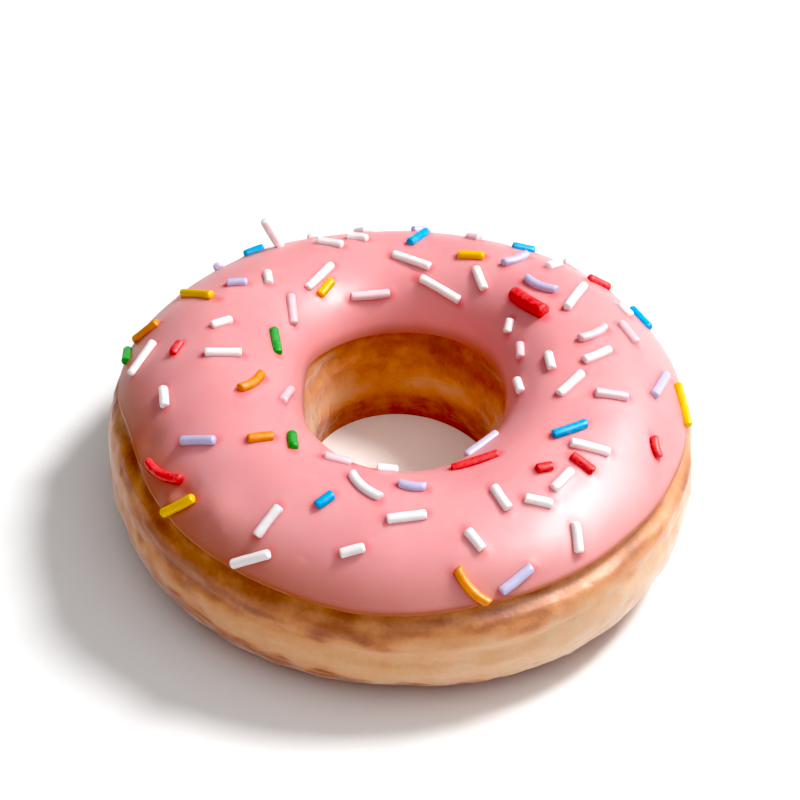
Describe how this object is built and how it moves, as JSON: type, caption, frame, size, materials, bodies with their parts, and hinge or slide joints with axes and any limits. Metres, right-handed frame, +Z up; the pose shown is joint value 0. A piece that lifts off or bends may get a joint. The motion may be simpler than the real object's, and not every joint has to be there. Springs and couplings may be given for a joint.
{
  "type": "sprinkle frosted doughnut",
  "caption": "Ring doughnut of fried dough with a smooth coat of pink icing over its top and sugar sprinkles strewn over the icing.",
  "frame": {"origin": "middle of the flat base, on the surface that the doughnut stands on, at the centre of its bounding box", "axes": "+Z up through the hole; the picture looks along +Y with +X to the right"},
  "size_m": [0.0888, 0.0881, 0.0316],
  "materials": {
    "dough": "matt, lightly greasy fried crust",
    "icing": "satin set icing"
  },
  "bodies": {
    "root": {"dough": "dough", "icing": "icing"}
  },
  "joints": []
}
